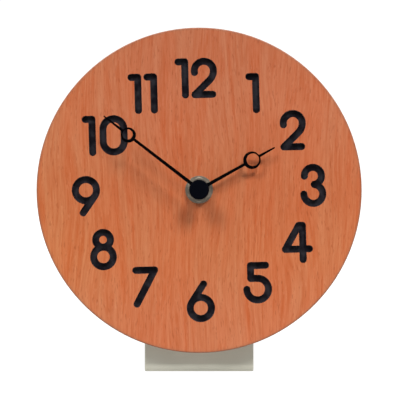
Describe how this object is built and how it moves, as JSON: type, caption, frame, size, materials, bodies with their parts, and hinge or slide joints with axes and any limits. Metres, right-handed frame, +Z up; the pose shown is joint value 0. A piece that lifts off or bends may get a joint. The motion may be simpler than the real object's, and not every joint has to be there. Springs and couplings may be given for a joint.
{
  "type": "desk clock",
  "caption": "Round wooden desk clock with recessed black numerals, two black hands and a battery movement, leaning on a bent sheet-metal stand.",
  "frame": {"origin": "middle of the stand's flat underside, on the surface the clock stands on", "axes": "+X to the right of the dial as seen, +Y to the rear (the dial faces -Y), +Z up"},
  "size_m": [0.16, 0.0641, 0.1704],
  "materials": {
    "beech": "clear satin lacquer over fine straight beech grain",
    "groove_lacquer": "black satin lacquer in the grooves",
    "stand_metal": "satin, fine brushed",
    "nickel": "nickel plated, smooth",
    "brass": "turned",
    "rubber": "matt",
    "black_plastic": "moulded, fine texture",
    "white_plastic": "moulded, natural white",
    "magnet": "dark sintered metal",
    "soft_iron": "stamped sheet",
    "copper": "enamelled copper wire",
    "board": "solder resist",
    "battery_sleeve": "printed foil sleeve over a metal can",
    "hand_black": "matt black paint",
    "cap_black": "matt black"
  },
  "bodies": {
    "clock": {"dial_disc": "beech", "numeral_01": "groove_lacquer", "numeral_02": "groove_lacquer", "numeral_03": "groove_lacquer", "numeral_04": "groove_lacquer", "numeral_05": "groove_lacquer", "numeral_06": "groove_lacquer", "numeral_07": "groove_lacquer", "numeral_08": "groove_lacquer", "numeral_09": "groove_lacquer", "numeral_10": "groove_lacquer", "numeral_11": "groove_lacquer", "numeral_12": "groove_lacquer", "stand_bracket": "stand_metal", "fixing_washer": "nickel", "fixing_nut": "nickel", "threaded_bush": "brass", "rubber_cushion": "rubber", "front_case": "black_plastic", "rear_cover": "black_plastic", "middle_plate": "white_plastic", "train_bridge": "white_plastic", "stator": "soft_iron", "coil_core": "soft_iron", "coil_bobbin": "black_plastic", "coil_winding": "copper", "circuit_board": "board", "chip": "black_plastic", "quartz_crystal": "nickel", "positive_contact": "nickel", "negative_contact": "nickel"},
    "hour": {"hour_wheel": "white_plastic", "hour_hand": "hand_black"},
    "minute": {"minute_arbor": "brass", "minute_hand": "hand_black", "hand_cap": "cap_black", "clutch_spring": "brass"},
    "motion": {"motion_wheel": "white_plastic"},
    "setting": {"setting_arbor": "white_plastic", "setting_knob": "black_plastic"},
    "centre": {"centre_wheel": "white_plastic"},
    "third": {"third_wheel": "white_plastic"},
    "second": {"second_wheel": "white_plastic"},
    "intermediate": {"intermediate_wheel": "white_plastic"},
    "rotor": {"rotor_pinion": "white_plastic", "rotor_magnet": "magnet"},
    "cell": {"battery": "battery_sleeve"}
  },
  "joints": [
    {"name": "minute_turn", "type": "hinge", "parent": "clock", "child": "minute", "pos_m": [0, -0.02684, 0.09151], "axis": [0, 0.9903, -0.1392], "continuous": true},
    {"name": "hour_turn", "type": "hinge", "parent": "clock", "child": "hour", "pos_m": [0, -0.02684, 0.09151], "axis": [0, 0.9903, -0.1392], "continuous": true},
    {"name": "motion_turn", "type": "hinge", "parent": "clock", "child": "motion", "pos_m": [-0.0052, -0.01147, 0.09238], "axis": [0, 0.9903, -0.1392], "continuous": true},
    {"name": "setting_turn", "type": "hinge", "parent": "clock", "child": "setting", "pos_m": [-0.0082, -0.00589, 0.09684], "axis": [0, 0.9903, -0.1392], "continuous": true},
    {"name": "second_turn", "type": "hinge", "parent": "clock", "child": "second", "pos_m": [0, -0.00703, 0.08872], "axis": [0, 0.9903, -0.1392], "continuous": true},
    {"name": "intermediate_turn", "type": "hinge", "parent": "clock", "child": "intermediate", "pos_m": [0, -0.00529, 0.09393], "axis": [0, 0.9903, -0.1392], "continuous": true},
    {"name": "rotor_turn", "type": "hinge", "parent": "clock", "child": "rotor", "pos_m": [0, -0.00555, 0.09927], "axis": [0, 0.9903, -0.1392], "continuous": true},
    {"name": "third_turn", "type": "hinge", "parent": "clock", "child": "third", "pos_m": [0.00575, -0.00971, 0.09121], "axis": [0, 0.9903, -0.1392], "continuous": true},
    {"name": "centre_turn", "type": "hinge", "parent": "clock", "child": "centre", "pos_m": [0, -0.0105, 0.08921], "axis": [0, 0.9903, -0.1392], "continuous": true},
    {"name": "battery_slide", "type": "slide", "parent": "clock", "child": "cell", "axis": [0, 0.9903, -0.1392], "range_m": [0, 0.03]}
  ],
  "couplings": [
    {"joint": "hour_turn", "follows": "minute_turn", "ratio": 0.083333},
    {"joint": "motion_turn", "follows": "minute_turn", "ratio": -0.33333},
    {"joint": "setting_turn", "follows": "minute_turn", "ratio": 1},
    {"joint": "intermediate_turn", "follows": "second_turn", "ratio": -5},
    {"joint": "rotor_turn", "follows": "second_turn", "ratio": 30},
    {"joint": "third_turn", "follows": "second_turn", "ratio": -0.13333},
    {"joint": "centre_turn", "follows": "second_turn", "ratio": 0.016667}
  ]
}
